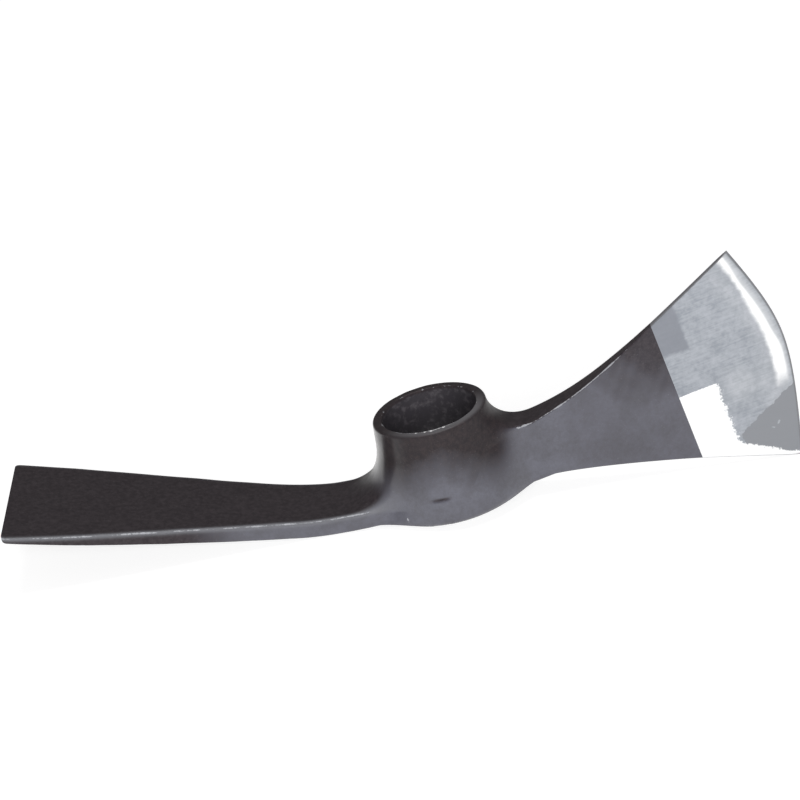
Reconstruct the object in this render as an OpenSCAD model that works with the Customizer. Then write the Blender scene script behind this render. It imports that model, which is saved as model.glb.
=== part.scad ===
// Cutter mattock head: a round eye for the handle, a broad adze blade on one side of it
// and a flared axe blade on the other.
// Sizes are in millimetres. The blades are drawn about the eye, whose bore runs along z,
// and the whole head is then tipped over so that it lies as it does on a bench, on the
// foot of its eye and the lower corner of the axe.
// The origin is the middle of the bore, +X runs along the head to the axe and +Z is up.

/* [Eye] */
// Diameter of the bore that takes the handle
eye_bore_d = 42; // [36:0.5:48]
// Height of the eye along the handle
eye_h = 42; // [38:1:54]
// Wall at the mouth, where the handle leaves the head
mouth_wall = 3.4; // [2:0.2:6]
// Wall at the foot, the end away from the handle
foot_wall = 7.2; // [4.5:0.1:11]
// Rounding of the rim round the mouth
mouth_round = 1.4; // [0.5:0.1:2.5]
// Rounding of the outer edge of the foot
foot_round = 2.5; // [1:0.5:5]
// Lead-in at the foot end of the bore
foot_lead = 1.5; // [0.5:0.5:3]

/* [Adze blade] */
// Distance from the middle of the bore to the adze edge
adze_reach = 182; // [140:1:240]
// Length of the adze edge
adze_edge_w = 70; // [45:1:110]
// Width of the blade where it leaves the eye
adze_root_w = 34.4; // [24:0.1:40]
// Thickness of the blade where it leaves the eye
adze_root_t = 7.8; // [5:0.1:9]
// Thickness left at the adze edge
adze_edge_t = 2.6; // [0.8:0.1:4]
// Angle at which the blade rises towards the handle
adze_pitch = 16.5; // [0:0.1:30]
// Distance from the middle of the bore to the bend
adze_bend_x = 53.7; // [48:0.1:80]
// Length over which the bend is spread
adze_bend_len = 13.7; // [4:0.1:30]
// Depth of the root's upper face below the middle of the eye
adze_drop = 11.4; // [6:0.2:13]
// Radius of the two corners of the edge
adze_corner_r = 2; // [1:0.5:8]
// Radius of the fillet from the upper face to the eye
adze_root_fillet = 22; // [10:1:28]
// Radius of the fillets from the blade's sides to the eye
adze_side_fillet = 12; // [6:1:20]

/* [Axe blade] */
// Distance from the eye to the crown of the axe edge, along the blade's middle line
axe_reach = 153.7; // [120:0.1:190]
// Height of the axe edge from corner to corner
axe_edge_h = 101; // [70:0.5:140]
// Crown of the axe edge above the line between its corners
axe_crown = 9.8; // [3:0.2:20]
// Height of the crown above the blade's middle line
axe_crown_z = 9.6; // [-20:0.2:20]
// Length over which the edge bends round the crown
axe_crown_len = 24.9; // [10:0.1:60]
// Height of the blade where it leaves the eye
axe_root_h = 26.7; // [18:0.1:28]
// Thickness of the blade where it leaves the eye
axe_root_t = 14.6; // [10:0.1:18]
// How straight the faces taper to the bit: 1 is straight, less is hollow
axe_taper = 0.8; // [0.6:0.05:1.2]
// Distance from the eye to the start of the upper edge's flare
axe_flare_x = 61.4; // [45:0.1:80]
// Length over which the upper edge's flare sets in
axe_flare_len = 28.2; // [8:0.1:50]
// Distance from the eye to the start of the lower edge's flare
axe_heel_x = 30; // [20:1:80]
// Length over which the lower edge's flare sets in
axe_heel_len = 40.6; // [8:0.1:60]
// Angle of the middle line towards the handle
axe_cant = 8.3; // [0:0.1:12]
// Depth at which the middle line meets the bore's axis, below the middle of the eye
axe_drop = 12.8; // [8:0.1:16]
// Radius of the fillet from the top of the blade to the eye
axe_root_fillet = 14; // [6:1:18]
// Radius of the fillets from the blade's faces to the eye
axe_side_fillet = 22; // [8:1:30]

/* [Steel edges] */
// Depth of the ground axe bit, back from the crown of its edge
axe_bit_depth = 49.9; // [30:0.1:62]
// Thickness of the blade where the ground bit begins
axe_bit_t = 3.2; // [2.8:0.1:7]
// Thickness of the bit where its honed bevel begins
axe_bevel_t = 2.6; // [1.6:0.2:3]
// Width of the honed bevel
axe_bevel_w = 6; // [3:0.5:10]
// Thickness left at the axe edge
axe_edge_t = 0.5; // [0.3:0.1:1]
// Length of the bit's tongue in the cleft of the blade
tongue_len = 18; // [8:1:28]
// Thickness of the tongue at the mouth of the cleft
tongue_t = 1.6; // [0.8:0.1:2.4]
// Depth of the adze steel on the upper face, back from the edge
adze_bit_top = 8; // [4:1:16]
// Depth of the adze steel on the under face, back from the edge
adze_bit_under = 34; // [20:1:60]

/* [Edges] */
// Rounding of the blades' long edges
edge_break = 1; // [0.4:0.1:2]
// Share of a root fillet's rise by which its upper edges are rounded off
root_soft = 0.55; // [0:0.05:0.8]

/* [Hidden] */
$fn = 96;

LACQUER = "#343337";
GROUND_STEEL = "#b9bcc2";

bore_r = eye_bore_d / 2;
mouth_r = bore_r + mouth_wall;
foot_r = bore_r + foot_wall;
mouth_break = min(mouth_round, 0.45 * mouth_wall);
foot_break = min(foot_round, 0.5 * foot_wall);

// How steep the fillets over the blades' tops get before they run into the eye, and how
// near the fillets beside them come to lying along its wall
top_stop = 75;
side_stop = 0.8;

// The axe edge: its corners' line, the start of the ground bit and of the honed bevel
axe_tip_x = axe_reach - axe_crown;
axe_bit_x = axe_reach - axe_bit_depth;
axe_bevel_s = 1 - axe_bevel_w / (axe_tip_x - axe_bit_x);

// Places where the root fillets leave the flats of each blade
adze_root_x = eye_r(adze_root_fillet - adze_drop) + adze_root_fillet;
adze_wall_x = adze_root_x - adze_root_fillet * sin(top_stop);
adze_side_x = fillet_start(eye_r(-adze_drop), adze_side_fillet, adze_root_w / 2);
adze_side_stop = fillet_stop(eye_r(-adze_drop), adze_side_fillet, adze_root_w / 2);
axe_root_x = axe_wall(axe_root_h / 2 + axe_root_fillet) + axe_root_fillet;
axe_wall_x = axe_root_x - axe_root_fillet * sin(top_stop);
axe_side_x = fillet_start(axe_wall(0), axe_side_fillet, axe_root_t / 2);
axe_side_stop = fillet_stop(axe_wall(0), axe_side_fillet, axe_root_t / 2);

// Both roots start well inside the eye and are then cut back to its wall
root_start_x = bore_r / 2;

// Lie on the bench: the slope of the line under the foot's edge and the axe's lower corner
corner_x = axe_tip_x * cos(axe_cant) + axe_edge_h / 2 * sin(axe_cant);
corner_z = axe_tip_x * sin(axe_cant) - axe_edge_h / 2 * cos(axe_cant) - axe_drop;
lie = atan2(-eye_h / 2 - corner_z, corner_x + foot_r - foot_break);

// Outer radius of the eye at height z, on the taper from mouth to foot
function eye_r(z) = mouth_r + (foot_r - mouth_r) * (eye_h / 2 - z) / eye_h;

// Distance along the axe's middle line to the eye's wall, at a height z from that line
function axe_wall(z) = eye_r(z - axe_drop) / cos(axe_cant) + z * tan(axe_cant);

// A fillet of radius r between a round wall of radius wall_r and a flat at half_w from the
// middle: the distance from the axis where it leaves the flat, and its steepest angle
function fillet_start(wall_r, r, half_w) = sqrt(max(0, pow(wall_r + r, 2) - pow(half_w + r, 2)));
function fillet_stop(wall_r, r, half_w) = side_stop * acos(min(1, (half_w + r) / (wall_r + r)));

// Rise of a fillet of radius r at a distance in from where it starts, up to the angle stop
function fillet_rise(r, inward, stop) =
    let (g = min(max(inward, 0), r * sin(stop)))
    r - sqrt(r * r - g * g);

function mix(a, b, t) = a + (b - a) * t;
function share(x, a, b) = min(max((x - a) / (b - a), 0), 1);

// Soft corner: level before d = 0 and as steep as d after it, spread over a length
function bend(d, spread) = (d + sqrt(d * d + spread * spread)) / 2;

function arc(cy, cz, r, from, to, n) =
    [for (i = [0:n]) let (a = mix(from, to, i / n)) [cy + r * cos(a), cz + r * sin(a)]];
function rungs(y, z0, z1, n) = [for (i = [1:1:n]) [y, mix(z0, z1, i / (n + 1))]];

// Section across a blade, from z0 up to z1: a rectangle with its lower corners rounded by
// r0 and its upper ones by r1, from the underside up one side and down the other, with n
// more points on each side
function blade_section(half_w, z0, z1, r0, r1, n) = concat(
    arc(r0 - half_w, z0 + r0, r0, 270, 180, 3),
    rungs(-half_w, z0 + r0, z1 - r1, n),
    arc(r1 - half_w, z1 - r1, r1, 180, 90, 4),
    arc(half_w - r1, z1 - r1, r1, 90, 0, 4),
    rungs(half_w, z1 - r1, z0 + r0, n),
    arc(half_w - r0, z0 + r0, r0, 0, -90, 3));

// Adze: x is the distance out from the middle of the bore
function adze_spread(x) =
    let (q = share(x, adze_root_x, adze_reach))
    (q + q * q * (3 - 2 * q)) / 2;
function adze_thick(x) =
    mix(adze_root_t, adze_edge_t, pow(share(x, adze_root_x, adze_reach), 2));
function adze_corner(x) =
    let (d = max(adze_corner_r - (adze_reach - x), 0))
    adze_corner_r - sqrt(adze_corner_r * adze_corner_r - d * d);
function adze_half_w(x) = mix(adze_root_w, adze_edge_w, adze_spread(x)) / 2 - adze_corner(x)
    + fillet_rise(adze_side_fillet, adze_side_x - x, adze_side_stop);
function adze_face(x) = tan(adze_pitch) * bend(x - adze_bend_x, adze_bend_len) - adze_drop;
function adze_under(x) = adze_face(x) - adze_thick(x)
    - fillet_rise(adze_side_fillet, adze_side_x + adze_side_fillet / 2 - x, adze_side_stop);
function adze_ring(x) =
    let (
        rise = fillet_rise(adze_root_fillet, adze_root_x - x, top_stop),
        z0 = adze_under(x),
        z1 = adze_face(x) + rise,
        most = 0.45 * (z1 - z0))
    [for (p = blade_section(adze_half_w(x), z0, z1,
            min(edge_break, most), min(edge_break + root_soft * rise, most), 0))
        [-x, p[0], p[1]]];

// Axe, drawn along its own middle line: x is the distance out to the corners' line, and s
// runs from 0 where the ground bit begins to 1 at its edge, as the sections bow out to the
// curve of that edge
function axe_spread(x, from, over) = bend(x - from, over) - bend(axe_root_x - from, over);
function axe_grown(x, from, over) =
    let (q = max(axe_spread(x, from, over), 0) / axe_spread(axe_tip_x, from, over))
    mix(axe_root_h, axe_edge_h, q) / 2;
function axe_top(x) = axe_grown(x, axe_flare_x, axe_flare_len);
function axe_low(x) = axe_grown(x, axe_heel_x, axe_heel_len);
function axe_bevel(s) = pow(share(s, axe_bevel_s, 1), 2);
function axe_half_t(x, s) = s > 0
    ? mix(mix(axe_bit_t, axe_bevel_t, share(s, 0, axe_bevel_s)), axe_edge_t, axe_bevel(s)) / 2
    : mix(axe_root_t, axe_bit_t, pow(share(x, axe_root_x, axe_bit_x), axe_taper)) / 2
        + fillet_rise(axe_side_fillet, axe_side_x - x, axe_side_stop);
// The edge's curve is a hyperbola over the line between its corners, highest at the crown
function axe_arm(z) = sqrt(pow(z - axe_crown_z, 2) + pow(axe_crown_len, 2));
function axe_rise(z) =
    mix(axe_arm(-axe_edge_h / 2), axe_arm(axe_edge_h / 2), z / axe_edge_h + 0.5) - axe_arm(z);
function axe_bow(v) = axe_crown * axe_rise(v * axe_edge_h / 2) / axe_rise(axe_crown_z);
function axe_ring(x, s) =
    let (
        top = axe_top(x),
        low = axe_low(x),
        t = axe_half_t(x, s),
        rise = fillet_rise(axe_root_fillet, axe_root_x - x, top_stop),
        most = 0.45 * t)
    [for (p = blade_section(t, -low, top + rise,
            min(edge_break, most), min(edge_break + root_soft * rise, 2 * most), 13))
        [x + s * axe_bow(share(p[1], -low, 0) + share(p[1], 0, top) - 1), p[0], p[1]]];

// Closed skin over a row of sections that run towards +X, every one with as many points
module skin(rings) {
    n = len(rings[0]);
    last = (len(rings) - 1) * n;
    sides = [for (i = [0:len(rings) - 2], j = [0:n - 1])
        let (a = i * n + j, b = i * n + (j + 1) % n)
        each [[a, b, b + n], [a, b + n, a + n]]];
    ends = [for (j = [0:n / 2 - 2])
        let (k = n - 1 - j)
        each [[j, k - 1, j + 1], [j, k, k - 1],
            [last + j, last + j + 1, last + k - 1], [last + j, last + k - 1, last + k]]];
    polyhedron(points = [for (r = rings) each r], faces = concat(sides, ends), convexity = 6);
}

// Places from a up to b in n steps, without b, drawn together towards a or b by a power
function places(a, b, n, power = 1) = [for (i = [0:n - 1]) mix(a, b, pow(i / n, power))];

// The whole adze arm, from its edge to well inside the eye
module adze_form() {
    out = concat(
        [for (i = [0:4]) adze_reach - adze_corner_r * (1 - cos(18 * i))],
        places(adze_reach - adze_corner_r, adze_root_x, 16),
        [for (i = [0:9]) mix(adze_wall_x, adze_root_x, pow(1 - i / 10, 2))],
        places(adze_wall_x, root_start_x, 8),
        [root_start_x]);
    skin([for (x = out) adze_ring(x)]);
}

// The whole axe arm, from well inside the eye to its edge
module axe_form() {
    blade = concat(
        places(root_start_x, axe_wall_x, 8),
        places(axe_wall_x, axe_root_x, 10, 2),
        places(axe_root_x, axe_bit_x, 10));
    bit = concat(places(0, axe_bevel_s, 6), [for (i = [0:5]) mix(axe_bevel_s, 1, i / 5)]);
    skin(concat(
        [for (x = blade) axe_ring(x, 0)],
        [for (s = bit) axe_ring(mix(axe_bit_x, axe_tip_x, s), s)]));
}

// The axe's middle line meets the bore's axis below the middle of the eye and leans up
module along_axe() {
    translate([0, 0, -axe_drop]) rotate([0, -axe_cant, 0]) children();
}

// Rounding of the eye's foot, from an angle below level up to the taper
function foot_arc(from) =
    let (z = foot_break - eye_h / 2)
    arc(eye_r(z) - foot_break, z, foot_break, from, 0, -from / 15);

// The eye's outside, carried past the mouth, that the roots are cut to. They reach a little
// way under the rounding of the foot and are dressed off level there.
module eye_outside() {
    over = axe_root_h;
    wide = foot_r + axe_root_fillet;
    foot = foot_arc(-60);
    rotate_extrude() polygon(concat(
        [[0, -eye_h / 2 - over], [wide, -eye_h / 2 - over], [wide, foot[0][1]]],
        foot,
        [[eye_r(eye_h / 2 + over), eye_h / 2 + over], [0, eye_h / 2 + over]]));
}

// Room taken by the axe bit: all beyond the start of the ground steel, and the cleft
module axe_bit_room() {
    far = axe_reach + axe_edge_h;
    wide = axe_root_t;
    translate([0, 0, -axe_edge_h])
        linear_extrude(2 * axe_edge_h)
            polygon([
                [axe_bit_x - tongue_len, 0], [axe_bit_x, -tongue_t / 2], [axe_bit_x, -wide],
                [far, -wide], [far, wide], [axe_bit_x, wide], [axe_bit_x, tongue_t / 2]]);
}

// Room taken by the adze bit: all beyond a slope through the end of the blade, which is
// carried past both faces by its own length
module adze_bit_room() {
    upper_x = adze_reach - adze_bit_top;
    under_x = adze_reach - adze_bit_under;
    upper_z = adze_face(upper_x);
    under_z = adze_face(under_x) - adze_thick(under_x);
    dx = upper_x - under_x;
    dz = upper_z - under_z;
    far = adze_reach + 2 * adze_bit_under;
    rotate([90, 0, 0])
        linear_extrude(2 * adze_edge_w, center = true)
            polygon([
                [-upper_x - dx, upper_z + dz], [-far, upper_z + dz],
                [-far, under_z - dz], [-under_x + dx, under_z - dz]]);
}

module lying() {
    rotate([0, -lie, 0]) children();
}

module eye_socket() {
    half = eye_h / 2;
    outline = concat(
        [[bore_r + foot_lead, -half]],
        foot_arc(-90),
        arc(eye_r(half - mouth_break) - mouth_break, half - mouth_break, mouth_break, 0, 90, 4),
        arc(bore_r + mouth_break, half - mouth_break, mouth_break, 90, 180, 4),
        [[bore_r, foot_lead - half]]);
    color(LACQUER) lying() rotate_extrude() polygon(outline);
}

module adze_blade() {
    color(LACQUER) lying() difference() {
        adze_form();
        eye_outside();
        adze_bit_room();
    }
}

module adze_bit() {
    color(LACQUER) lying() intersection() {
        adze_form();
        adze_bit_room();
    }
}

module axe_blade() {
    color(LACQUER) lying() difference() {
        along_axe() axe_form();
        eye_outside();
        along_axe() axe_bit_room();
    }
}

module axe_bit() {
    color(GROUND_STEEL) lying() along_axe() intersection() {
        axe_form();
        axe_bit_room();
    }
}

eye_socket();
adze_blade();
adze_bit();
axe_blade();
axe_bit();
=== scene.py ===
"""Looks of a cutter mattock head: a lacquered forging with one bright ground axe edge.

Every piece is a numpy surface in millimetres about the eye, whose bore runs along z. It is
then laid down as the head lies on a bench and written in metres, in the part's own frame.
"""

import logging
import math
from dataclasses import dataclass, field
from enum import Enum
from typing import NamedTuple

import bmesh
import bpy
import numpy as np
from mathutils import Matrix, Vector


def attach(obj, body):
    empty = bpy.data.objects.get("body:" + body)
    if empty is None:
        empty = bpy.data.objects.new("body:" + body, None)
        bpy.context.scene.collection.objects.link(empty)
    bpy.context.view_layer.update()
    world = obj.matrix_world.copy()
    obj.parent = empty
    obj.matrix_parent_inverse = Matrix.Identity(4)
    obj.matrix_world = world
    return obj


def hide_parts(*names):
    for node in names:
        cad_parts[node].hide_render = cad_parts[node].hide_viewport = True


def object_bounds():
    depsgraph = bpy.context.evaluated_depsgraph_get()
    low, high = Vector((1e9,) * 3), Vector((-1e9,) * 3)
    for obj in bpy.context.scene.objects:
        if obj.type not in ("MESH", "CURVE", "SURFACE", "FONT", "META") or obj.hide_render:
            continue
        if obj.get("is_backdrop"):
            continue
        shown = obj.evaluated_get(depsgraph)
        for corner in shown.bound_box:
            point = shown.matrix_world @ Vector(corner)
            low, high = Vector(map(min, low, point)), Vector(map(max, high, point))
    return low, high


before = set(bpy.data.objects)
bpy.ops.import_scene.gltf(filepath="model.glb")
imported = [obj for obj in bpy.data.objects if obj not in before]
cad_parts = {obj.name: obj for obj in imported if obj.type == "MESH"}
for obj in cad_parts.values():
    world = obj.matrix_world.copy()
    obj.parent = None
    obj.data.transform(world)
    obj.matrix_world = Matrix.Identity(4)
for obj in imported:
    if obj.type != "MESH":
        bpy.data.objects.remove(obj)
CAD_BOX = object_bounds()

LOG = logging.getLogger("mattock_head")
MM = 0.001
BODY = "root"

Place = tuple[float, float, float]
Colour = tuple[float, float, float, float]


class Slot(Enum):
    """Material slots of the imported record."""

    LACQUER = "black_lacquer"
    STEEL = "ground_steel"


class Side(Enum):
    """Side of the eye that a blade leaves from, as the sign of x."""

    ADZE = -1.0
    AXE = 1.0


# ---------------------------------------------------------------- numbers on arrays


def mix(a: np.ndarray, b: np.ndarray, t: np.ndarray) -> np.ndarray:
    """Straight mix from a at t = 0 to b at t = 1."""
    return a + (b - a) * t


def share(x: np.ndarray, a: float, b: float) -> np.ndarray:
    """How far x has come from a to b, held between 0 and 1."""
    return np.clip((x - a) / (b - a), 0.0, 1.0)


def soft_step(x: np.ndarray, a: float, b: float) -> np.ndarray:
    """Smooth step from 0 at a to 1 at b: 3 t^2 - 2 t^3 of the share t."""
    t = share(x, a, b)
    return t * t * (3.0 - 2.0 * t)


def bend(d: np.ndarray, spread: float) -> np.ndarray:
    """Soft corner: level before d = 0, as steep as d after it, spread over a length."""
    return (d + np.sqrt(d * d + spread * spread)) / 2.0


def ripple(a: np.ndarray, b: np.ndarray, pitch: float) -> np.ndarray:
    """Uneven ripple between about -1 and 1: a sum of five sine waves of unlike directions.

    Args:
        a: First coordinate, in millimetres.
        b: Second coordinate, in millimetres.
        pitch: Length of the longest wave, in millimetres.

    Returns:
        The height of the ripple at each point.
    """
    k = 2.0 * math.pi / pitch
    waves = (
        np.sin(k * (0.83 * a + 0.41 * b) + 0.7)
        + 0.8 * np.sin(k * (-0.57 * a + 1.31 * b) + 2.1)
        + 0.6 * np.sin(k * (1.73 * a + 0.93 * b) + 4.4)
        + 0.5 * np.sin(k * (-2.11 * a + 1.77 * b) + 1.3)
        + 0.4 * np.sin(k * (2.9 * a - 2.3 * b) + 5.2)
    )
    return waves / 2.2


def halo(*gaps: np.ndarray) -> np.ndarray:
    """Gaussian of one or more gaps, each as a share of its width: 1 where there is no gap."""
    return np.exp(-sum(gap**2 for gap in gaps))


def off_angle(angle: np.ndarray, at: float) -> np.ndarray:
    """Angle from at, in degrees between -180 and 180."""
    return (angle - at + 180.0) % 360.0 - 180.0


def facing(turn: np.ndarray, at: float) -> np.ndarray:
    """Raised cosine: 1 at an angle round the bore and 0 opposite it."""
    return 0.5 + 0.5 * np.cos(turn - at)


# ---------------------------------------------------------------- meshes


@dataclass
class Patch:
    """Grid of points with a few named values at each one."""

    points: np.ndarray
    values: dict[str, np.ndarray] = field(default_factory=dict)
    closed_across: bool = False

    def quads(self, first: int) -> np.ndarray:
        """Corner numbers of the grid's quads.

        Args:
            first: Number of the grid's first point in the whole mesh.

        Returns:
            Array with four point numbers for each quad.
        """
        rows, cols = self.points.shape[:2]
        number = first + np.arange(rows * cols).reshape(rows, cols)
        if self.closed_across:
            number = np.concatenate([number, number[:, :1]], axis=1)
        corners = (number[:-1, :-1], number[:-1, 1:], number[1:, 1:], number[1:, :-1])
        return np.stack([c.ravel() for c in corners], axis=1)


@dataclass(frozen=True)
class Bench:
    """How the head lies: tipped about y until foot and axe corner touch the bench."""

    lie: float = math.radians(6.827400)

    def lay(self, points: np.ndarray) -> np.ndarray:
        """Turn eye-frame points about y by the lie and change millimetres to metres.

        Args:
            points: Points in the eye's frame, in millimetres.

        Returns:
            Points in the part's frame, in metres.
        """
        c, s = math.cos(self.lie), math.sin(self.lie)
        turn = np.array([[c, 0.0, -s], [0.0, 1.0, 0.0], [s, 0.0, c]])
        return points @ turn.T * MM


def make_piece(
    name: str, patches: list[Patch], bench: Bench, sharp: float = 40.0
) -> bpy.types.Object:
    """Join patches into one closed mesh object at the origin.

    Args:
        name: Name of the object.
        patches: Grids whose rims meet.
        bench: How the head lies.
        sharp: Angle in degrees past which an edge is shaded as a corner.

    Returns:
        The new object, with each patch's values as point attributes.
    """
    names = sorted({n for p in patches for n in p.values})
    points, quads, values, first = [], [], {n: [] for n in names}, 0
    for patch in patches:
        count = patch.points.shape[0] * patch.points.shape[1]
        points.append(patch.points.reshape(count, 3))
        quads.append(patch.quads(first))
        for n in names:
            one = patch.values.get(n, np.zeros(1))
            values[n].append(np.broadcast_to(one, patch.points.shape[:2]).ravel())
        first += count
    mesh = bpy.data.meshes.new(name)
    mesh.from_pydata(bench.lay(np.concatenate(points)), [], np.concatenate(quads).tolist())
    for n in names:
        layer = mesh.attributes.new(n, "FLOAT", "POINT")
        layer.data.foreach_set("value", np.concatenate(values[n]).astype(np.float32))
    weld(mesh)
    mesh.polygons.foreach_set("use_smooth", np.ones(len(mesh.polygons), bool))
    mesh.set_sharp_from_angle(angle=math.radians(sharp))
    piece = bpy.data.objects.new(name, mesh)
    bpy.context.scene.collection.objects.link(piece)
    return piece


def weld(mesh: bpy.types.Mesh) -> None:
    """Merge points that coincide, drop what that flattens and turn all faces outwards."""
    work = bmesh.new()
    work.from_mesh(mesh)
    bmesh.ops.remove_doubles(work, verts=work.verts, dist=2e-6)
    bmesh.ops.dissolve_degenerate(work, edges=work.edges, dist=1e-7)
    bmesh.ops.recalc_face_normals(work, faces=work.faces)
    work.to_mesh(mesh)
    work.free()
    mesh.update()


# ---------------------------------------------------------------- the eye


@dataclass(frozen=True)
class Mark:
    """Hammer mark on the eye: where it is, its size, and whether it is rubbed bare."""

    angle: float
    level: float
    wide: float
    tall: float
    deep: float
    bare: bool = False

    def depth(self, angle: np.ndarray, z: np.ndarray) -> np.ndarray:
        """Share of the full depth: a Gaussian over the height, a flatter one over the angle."""
        turn = off_angle(angle, self.angle)
        return np.exp(-((turn / self.wide) ** 4) - ((z - self.level) / self.tall) ** 2)


@dataclass(frozen=True)
class Eye:
    """Round tapered eye, in millimetres, with its bore along z and its middle at 0.

    The lip is rolled in by lip_in over roll_depth. wave ripples the outside and waver the rim,
    with arc millimetres to a radian. The bands are depths below the mouth. glints holds the
    angle and the width, in degrees, of each painted highlight: a bright spot painted on the lip.
    """

    bore_d: float = 42.0
    height: float = 42.0
    mouth_wall: float = 3.4
    foot_wall: float = 7.2
    mouth_round: float = 1.4
    foot_round: float = 2.5
    foot_lead: float = 1.5
    lip_round: float = 1.0
    lip_in: float = 0.7
    roll_depth: float = 6.0
    belly: float = 0.1
    turns: int = 480
    arc: float = 26.0
    wave: float = 0.10
    wave_pitch: float = 44.0
    waver: float = 0.12
    waver_pitch: float = 37.0
    rim_at: tuple[float, float] = (0.4, 0.2)
    rim_wide: float = 1.1
    lip_light_band: tuple[float, float] = (1.6, 0.3)
    lip_light_out: float = 3.7
    lip_light_fade: float = 2.4
    soot_gap: float = 0.25
    soot_band: tuple[float, float] = (0.6, 1.6)
    lip_light_turn: float = math.radians(23.0)
    wear_turn: float = math.radians(6.0)
    spot_in: float = 1.0
    spot_wide: float = 0.9
    spot_tall: float = 0.8
    glint_strength: float = 1.3
    bare_wear: float = 1.6
    glints: tuple[tuple[float, float], ...] = (
        (-18.5, 1.7), (-8.0, 1.8), (-1.2, 2.4), (13.3, 3.4))
    marks: tuple[Mark, ...] = (
        Mark(-7.6, -8.7, 8.4, 0.75, 0.5), Mark(28.0, -3.0, 9.0, 5.0, 0.15),
        Mark(150.0, -9.0, 7.0, 0.8, 0.4), Mark(205.0, 4.0, 11.0, 5.0, 0.2),
        Mark(232.0, -15.0, 1.6, 1.3, 0.3, True))

    @property
    def half(self) -> float:
        """Half of the eye's height."""
        return self.height / 2.0

    @property
    def bore_r(self) -> float:
        """Radius of the bore."""
        return self.bore_d / 2.0

    def wall(self, z: np.ndarray) -> np.ndarray:
        """Outer radius at z: a straight taper with a slight belly, a sine over the height."""
        q = (self.half - z) / self.height
        taper = mix(self.bore_r + self.mouth_wall, self.bore_r + self.foot_wall, q)
        return taper + self.belly * np.sin(math.pi * np.clip(q, 0.0, 1.0))

    def outside(self, z: np.ndarray) -> np.ndarray:
        """Outer radius at z with the foot's rounding: the wall less the sagitta of its arc."""
        r = self.foot_round
        down = np.clip(r - self.half - z, 0.0, r)
        return self.wall(z) - (r - np.sqrt(r * r - down * down))

    def on_wall(self, side: Side, phi: np.ndarray, z: np.ndarray, deep: float) -> np.ndarray:
        """Points on the outside, at an angle from the side's middle line and a height.

        Args:
            side: Side of the eye that phi is counted from.
            phi: Angle round the bore, in radians, towards +y.
            z: Height along the bore.
            deep: Depth below the surface.

        Returns:
            Points in the eye's frame.
        """
        r = self.outside(z) - deep
        return np.stack([side.value * r * np.cos(phi), r * np.sin(phi), z], axis=-1)

    def profile(self) -> tuple[np.ndarray, np.ndarray, np.ndarray]:
        """Closed outline of the wall: out along the foot, up the outside, over the rim, down.

        Returns:
            Radius, height and nearness to the worn rim at each point, first point repeated.
        """
        half, bore = self.half, self.bore_r
        foot_z, rim, lip = self.foot_round - half, self.mouth_round, self.lip_round
        low = np.radians(np.linspace(-90.0, 0.0, 13)[:-1])
        foot_r = self.wall(np.array(foot_z)) - self.foot_round + self.foot_round * np.cos(low)
        foot_h = foot_z + self.foot_round * np.sin(low)
        wall_h = np.linspace(foot_z, half - rim, 93)[:-1]
        over = np.radians(np.linspace(0.0, 90.0, 9))
        top_r = self.wall(np.array(half - rim))
        inner = np.radians(np.linspace(90.0, 180.0, 7))
        lead = np.linspace(0.0, 1.0, 5)
        bore_h = np.linspace(half - lip, self.foot_lead - half, 61)[1:]
        rolled = self.lip_in * soft_step(bore_h, half - self.roll_depth, half - lip)
        base = np.linspace(bore + self.foot_lead, float(foot_r[0]), 9)[:-1]
        radius = np.concatenate([
            base, foot_r, self.wall(wall_h),
            top_r - rim + rim * np.cos(over), bore - self.lip_in + lip + lip * np.cos(inner),
            bore - rolled, bore + self.foot_lead * lead[1:]])
        height = np.concatenate([
            np.full_like(base, -half), foot_h, wall_h,
            half - rim + rim * np.sin(over), half - lip + lip * np.sin(inner),
            bore_h, self.foot_lead - half - self.foot_lead * lead[1:]])
        rim_in, rim_down = self.rim_at
        rim_gap = np.hypot(radius - bore + self.lip_in - rim_in, height - half + rim_down)
        return radius, height, halo(rim_gap / self.rim_wide)

    def rubbed(self, r: np.ndarray, h: np.ndarray, rim: np.ndarray,
               turn: np.ndarray) -> np.ndarray:
        """Wear of the rim, partly real and partly painted glints, most in front, with a few painted
        highlights on its top: bright spots.

        Args:
            r: Radius of each point of the outline.
            h: Height of each point.
            rim: Nearness of each point to the rim.
            turn: Angles round the bore.

        Returns:
            Wear, with the painted glints, at each point of the outline and each angle.
        """
        wear = rim * mix(0.66, 1.0, soft_step(facing(turn, self.wear_turn), 0.88, 0.98))
        in_gap = (r - self.bore_r + self.lip_in - self.spot_in) / self.spot_wide
        spot = halo(in_gap, (self.half - h) / self.spot_tall)
        for angle, wide in self.glints:
            aside = off_angle(np.degrees(turn), angle) / wide
            wear = np.maximum(wear, self.glint_strength * spot * halo(aside))
        return wear

    def worn_lip_highlight(self, r: np.ndarray, h: np.ndarray, turn: np.ndarray) -> np.ndarray:
        """Pale band on top of the lip, strongest at one angle round the bore: partly worn lacquer,
        partly a painted highlight.
        """
        deep, shallow = self.lip_light_band
        lip = soft_step(h, self.half - deep, self.half - shallow)
        lip = lip * soft_step(facing(turn, self.lip_light_turn), 0.5, 0.98)
        return lip * soft_step(self.bore_r + self.lip_light_out - r, 0.0, self.lip_light_fade)

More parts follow.
